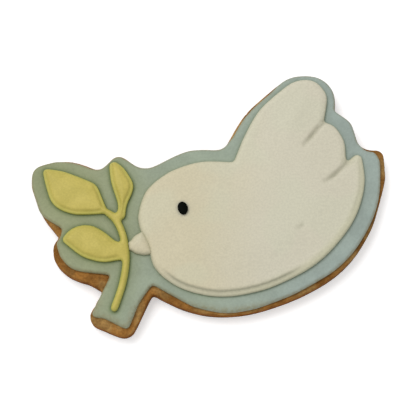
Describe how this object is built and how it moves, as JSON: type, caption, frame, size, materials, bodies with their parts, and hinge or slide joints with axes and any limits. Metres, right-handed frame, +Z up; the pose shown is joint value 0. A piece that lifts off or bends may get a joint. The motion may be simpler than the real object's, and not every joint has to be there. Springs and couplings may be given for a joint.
{
  "type": "iced sugar cookie",
  "caption": "Dove-shaped rolled biscuit flooded with blue-green icing, with a puffed white icing dove, its beak and black eye, and a piped green stem with leaves.",
  "frame": {"origin": "middle of the biscuit's box, on the flat underside that it lies on", "axes": "+X from the leaves to the tail, +Y towards the tip of the wing, +Z up, out of the icing"},
  "size_m": [0.107, 0.081, 0.0108],
  "materials": {
    "baked_dough": "matte baked dough, golden brown, darker at its edges, with fine crumb",
    "blue_icing": "dried royal icing, pale grey blue-green, satin matt",
    "white_icing": "dried royal icing, warm off-white, satin matt with very fine grain",
    "green_icing": "dried royal icing, yellow-green, satin matt",
    "black_icing": "dried royal icing, black, slight gloss"
  },
  "bodies": {
    "root": {"biscuit": "baked_dough", "blue_flood": "blue_icing", "white_dove": "white_icing", "beak": "white_icing", "eye": "black_icing", "stem": "green_icing", "leaf_large": "green_icing", "leaf_small": "green_icing", "leaf_lower": "green_icing"}
  },
  "joints": []
}
